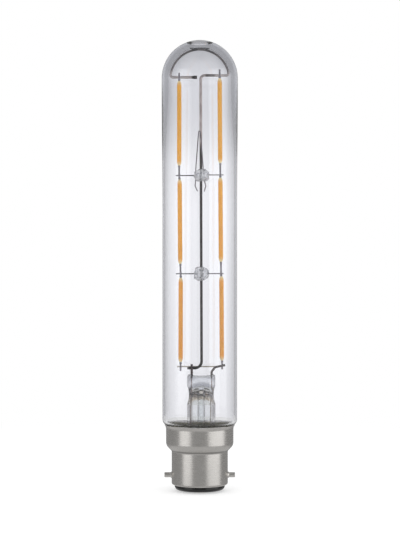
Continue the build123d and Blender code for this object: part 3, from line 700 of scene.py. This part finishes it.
# %% [markdown]
# ## The filaments
# A filament is a straight stick whose ends are drawn in to its metal tabs. The ready nodes are
# perfectly round, so each stick is made again, and it needs points all along its length to be
# lumpy. Its outline is turned upright first, so it only has to know the stick's length.

# %% The filament's outline
filament_r, filament_tip_r, tip_round = 0.875, 0.47, 0.08
filament_taper, taper_steps, middle_steps = 1.6, 5, 40


def taper(n):
    """Step n of a drawn-in end, as (distance from the axis, distance from the end)."""
    t = n / taper_steps
    return filament_tip_r + (filament_r - filament_tip_r) * math.sin(t * math.pi / 2), filament_taper * t


def filament_outline(length):
    """A stick with both ends drawn in, from one end to the other."""
    tapers = [taper(n + 1) for n in range(taper_steps)]
    straight = length - 2 * filament_taper
    corners = [(0, 0, 0), (filament_tip_r, 0, tip_round)]
    corners += [(r, from_end, 0) for r, from_end in tapers]
    for n in range(1, middle_steps):
        corners.append((filament_r, filament_taper + straight * n / middle_steps, 0))
    corners += [(r, length - from_end, 0) for r, from_end in reversed(tapers)]
    return corners + [(filament_tip_r, length, tip_round), (0, length, 0)]


print("corners of a 33 mm filament", len(filament_outline(33.0)))

# %% [markdown]
# The silicone is poured round the strip by hand, so a stick is never quite even. A noise along
# the stick makes it a little thicker and thinner, which sculpting would do only once and by hand.
# Then the stick is laid between the two ends of its node.

# %% Pour the filaments
swell_share, swell_length, swell_apart = 0.05, 4.0, 7.0


def end_centres(node_name, depth=0.3 * MM):
    """Middle of the lowest and of the highest slice of a node's mesh."""
    places = [v.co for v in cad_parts[node_name].data.vertices]
    low, high = min(p.z for p in places), max(p.z for p in places)
    slices = ([p for p in places if p.z < low + depth], [p for p in places if p.z > high - depth])
    centres = []
    for cut in slices:
        lows = [min(p[k] for p in cut) for k in range(3)]
        highs = [max(p[k] for p in cut) for k in range(3)]
        centres.append(Vector([(a + b) / 2 for a, b in zip(lows, highs)]))
    centres[0].z, centres[1].z = low, high
    return centres


def pour_filament(node_name, seed):
    low, high = end_centres(node_name)
    length = (high - low).length / MM
    bm = turned_bmesh(filament_outline(length), 24, 3)
    along = bm.verts.layers.float.new("along")
    for vert in bm.verts:
        vert[along] = vert.co.z / (length * MM)
        noise_place = Vector((seed * swell_apart, 0, vert.co.z / (swell_length * MM)))
        swell = 1 + swell_share * noise.noise(noise_place)
        vert.co.x *= swell
        vert.co.y *= swell
    turn = Vector((0, 0, 1)).rotation_difference(high - low).to_matrix().to_4x4()
    bmesh.ops.transform(bm, matrix=Matrix.Translation(low) @ turn, verts=bm.verts[:])
    made = finish_mesh(node_name.replace("filament", "silicone"), bm, amber_silicone)
    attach(made, "root")
    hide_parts(node_name)
    return made


filament_nodes = sorted(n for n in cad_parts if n.endswith("_filament"))
filaments = [pour_filament(n, seed) for seed, n in enumerate(filament_nodes)]
print("filaments", len(filaments))

# %% [markdown]
# ## The beads
# Two lumps of glass hold the cross wires on the mast. They were melted on, so they are crumpled,
# and their folds throw light about. They could be sculpted by hand, but a script can repeat this
# exactly: a fine ball is drawn out to the lump's size and pushed in and out by noise. The power
# of the fullness makes the ball a little boxy, as the real lumps are.

# %% Melt the beads
bead_fullness = 2.3
lump_scale, lump_depth = 1.7, 0.35
crease_scale, crease_depth = 3.4, 0.4
crumple_inset = 0.1


def melt_bead(node_name, seed, crumple):
    low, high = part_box(node_name)
    centre = (low + high) / 2
    size = (high - low) / 2
    bm = bmesh.new()
    bmesh.ops.create_icosphere(bm, subdivisions=5, radius=1.0)
    for vert in bm.verts:
        direction = vert.co.normalized()
        lump = noise.noise(direction * lump_scale + Vector((seed, 0, 0)))
        crease = abs(noise.noise(direction * crease_scale + Vector((0, seed, 0))))
        fullness = 1 / sum(abs(d) ** bead_fullness for d in direction) ** (1 / bead_fullness)
        relief = lump * lump_depth + crease * crease_depth - crumple_inset
        reach = fullness * (1.0 + crumple * relief)
        vert.co = Vector([min(1.0, max(-1.0, reach * d)) * s for d, s in zip(direction, size)]) + centre
    bmesh.ops.smooth_vert(
        bm, verts=bm.verts[:], factor=0.5, use_axis_x=True, use_axis_y=True, use_axis_z=True
    )
    bmesh.ops.recalc_face_normals(bm, faces=bm.faces[:])
    made = finish_mesh(node_name.replace("bead", "melted_bead"), bm, bead_glass)
    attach(made, "root")
    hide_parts(node_name)
    return made


beads = [melt_bead("upper_bead", 3.1, 0.5), melt_bead("lower_bead", 8.4, 0.5)]
print("beads", len(beads))

# %% [markdown]
# ## Camera and soft lamps
# The lamp is photographed level from more than half a metre with a long lens, so that its sides
# stay nearly parallel. Two tall soft lamps stand left and right of the camera and give the cap
# its bright bands. Small lamps would give thin hard glints instead.

# %% Set up the camera and the soft lamps
camera_place = Vector((0.1, -579.0, 87.8)) * MM
long_side = 36.0
lens = 99.8
lamp_distance, lamp_rise, lamp_height = 0.6, 0.12, 0.6


def set_camera():
    data = bpy.data.cameras.new("camera")
    data.sensor_width = long_side
    data.lens = lens
    data.clip_start = 0.01
    camera = bpy.data.objects.new("camera", data)
    camera.location = camera_place
    camera.rotation_euler = (math.radians(90), 0, 0)
    bpy.context.scene.collection.objects.link(camera)
    bpy.context.scene.camera = camera


def soft_lamp(name, azimuth, width, power):
    """A tall soft lamp at an azimuth from the camera's side, turned to the bulb's axis."""
    data = bpy.data.lights.new(name, "AREA")
    data.shape = "RECTANGLE"
    data.size, data.size_y = width, lamp_height
    data.energy = power
    lamp = bpy.data.objects.new(name, data)
    a = math.radians(azimuth)
    lamp.location = (lamp_distance * math.sin(a), -lamp_distance * math.cos(a), lamp_rise)
    aim = Vector((0, 0, lamp_rise)) - lamp.location
    lamp.rotation_euler = aim.to_track_quat("-Z", "Y").to_euler()
    bpy.context.scene.collection.objects.link(lamp)


set_camera()
soft_lamp("left_soft_lamp", azimuth=-52, width=0.44, power=0.70)
soft_lamp("right_soft_lamp", azimuth=61, width=0.72, power=1.15)
print("soft lamps", len(bpy.data.lights))

# %% [markdown]
# ## The floor
# The floor is a pale disc that catches the contact shadow and fades to the white of the
# background. A floor lit up to white would throw that light up at the cap too. So the disc is a
# middle grey, lifted to white where the camera sees it. Seen through the glass it is lifted less,
# so that from the front and the sides its edge hardly shows there. From the corners it still
# shows as a step. Metal doesn't mirror it.

# %% Lay the floor
floor_reach, floor_fade = 0.26, 0.10
floor_albedo, floor_lift = 0.5, 0.48
floor_through, lift_through = 0.74, 0.4


def lay_floor():
    bm = bmesh.new()
    bmesh.ops.create_circle(bm, cap_ends=True, segments=96, radius=floor_reach)
    material, tree, shader = new_finish("pale_floor")
    shader.inputs["Base Color"].default_value = (floor_albedo, floor_albedo, floor_albedo, 1)
    shader.inputs["Roughness"].default_value = 0.9
    shader.inputs["Specular IOR Level"].default_value = 0.0
    shader.inputs["Emission Color"].default_value = (1, 1, 1, 1)
    path = add_node(tree, "ShaderNodeLightPath")
    by_camera, through_glass = path.outputs["Is Camera Ray"], path.outputs["Is Transmission Ray"]
    seen = worked_out(tree, "MULTIPLY_ADD", through_glass, lift_through, by_camera)
    tree.links.new(worked_out(tree, "MULTIPLY", seen, floor_lift), shader.inputs["Emission Strength"])
    glow = add_node(tree, "ShaderNodeEmission", Color=(1, 1, 1, 1))
    dimmed = worked_out(tree, "MULTIPLY_ADD", through_glass, floor_through - 1, 1.0)
    tree.links.new(dimmed, glow.inputs["Strength"])
    place = add_node(tree, "ShaderNodeTexCoord")
    length = add_node(tree, "ShaderNodeVectorMath", {"operation": "LENGTH"})
    tree.links.new(place.outputs["Object"], length.inputs[0])
    fade = carried_over(tree, length.outputs["Value"], floor_fade, floor_reach, easing="SMOOTHSTEP")
    mix = add_node(tree, "ShaderNodeMixShader")
    tree.links.new(fade, mix.inputs["Fac"])
    tree.links.new(shader.outputs["BSDF"], mix.inputs[1])
    tree.links.new(glow.outputs["Emission"], mix.inputs[2])
    tree.links.new(mix.outputs["Shader"], tree.nodes["Material Output"].inputs["Surface"])
    floor = finish_mesh("floor", bm, material)
    floor.visible_glossy = False


lay_floor()
print("floor reach in m", floor_reach)

# %% [markdown]
# ## The studio around the lamp
# Clear glass is seen by what is behind and beside it, so the surroundings matter more than the
# lamps. A set could be modelled from cards, but the world's own nodes need no objects and can
# answer each kind of ray apart. The camera sees plain white. Through the glass the eye sees a
# bright backdrop straight ahead, a little cold, and a dimmer studio to the sides and above,
# which draws the dark edges of clear glass. The same holds from all four sides. Metal mirrors a
# dim room and a brighter table below it. All else gets an even fill.

# %% Set the world
fill_level = 1.25
mirrored_level, table_level, table_edge, table_full = 0.31, 0.55, -0.25, -0.5
backdrop_from, backdrop_to, side_level = 5.0, 34.0, 0.56
backdrop_rise, backdrop_tall, top_level = 2.0, 14.0, 0.8
backdrop_level, backdrop_cast = 1.03, (0.975, 0.975, 1.01, 1)


def backdrop_seen(tree, looking):
    """Brightness by direction: full towards each of four sides, less between and above them."""
    x_size, y_size = [worked_out(tree, "ABSOLUTE", looking[axis]) for axis in "XY"]
    across = worked_out(tree, "ARCCOSINE", worked_out(tree, "MAXIMUM", x_size, y_size))
    up = worked_out(tree, "ARCSINE", looking["Z"])
    above = worked_out(tree, "SUBTRACT", up, math.radians(backdrop_rise))
    away = worked_out(tree, "ABSOLUTE", above)
    start, end, tall = [math.radians(a) for a in (backdrop_from, backdrop_to, backdrop_tall)]
    sideways = carried_over(tree, across, start, end, 1.0, side_level)
    upwards = carried_over(tree, away, 0.0, tall, 1.0, top_level)
    return worked_out(tree, "MULTIPLY", worked_out(tree, "MULTIPLY", sideways, upwards), backdrop_level)


def set_world():
    world = bpy.data.worlds.new("studio")
    bpy.context.scene.world = world
    world.use_nodes = True
    tree = world.node_tree
    background = tree.nodes["Background"]
    place = add_node(tree, "ShaderNodeTexCoord")
    split = add_node(tree, "ShaderNodeSeparateXYZ")
    tree.links.new(place.outputs["Generated"], split.inputs["Vector"])
    looking = split.outputs
    mirrored = carried_over(tree, looking["Z"], table_full, table_edge, table_level, mirrored_level)
    path = add_node(tree, "ShaderNodeLightPath")
    seen_by = [
        ("Is Glossy Ray", mirrored),
        ("Is Transmission Ray", backdrop_seen(tree, looking)),
        ("Is Camera Ray", 1.0),
    ]
    latest = fill_level
    for ray, brightness in seen_by:
        latest = mixed(tree, path.outputs[ray], latest, brightness, kind="FLOAT")
    tree.links.new(latest, background.inputs["Strength"])
    cast = mixed(tree, path.outputs["Is Transmission Ray"], (1, 1, 1, 1), backdrop_cast)
    tree.links.new(cast, background.inputs["Color"])


set_world()
print("world nodes", len(bpy.context.scene.world.node_tree.nodes))

# %% [markdown]
# ## The last settings
# A ray through the bulb crosses many walls of glass, so it gets many bounces. The Standard view
# shows each colour as it is written.

# %% Set the bounces and the view
glass_bounces = 24
bpy.context.scene.cycles.max_bounces = glass_bounces
bpy.context.scene.cycles.transmission_bounces = glass_bounces
bpy.context.scene.view_settings.view_transform = "Standard"
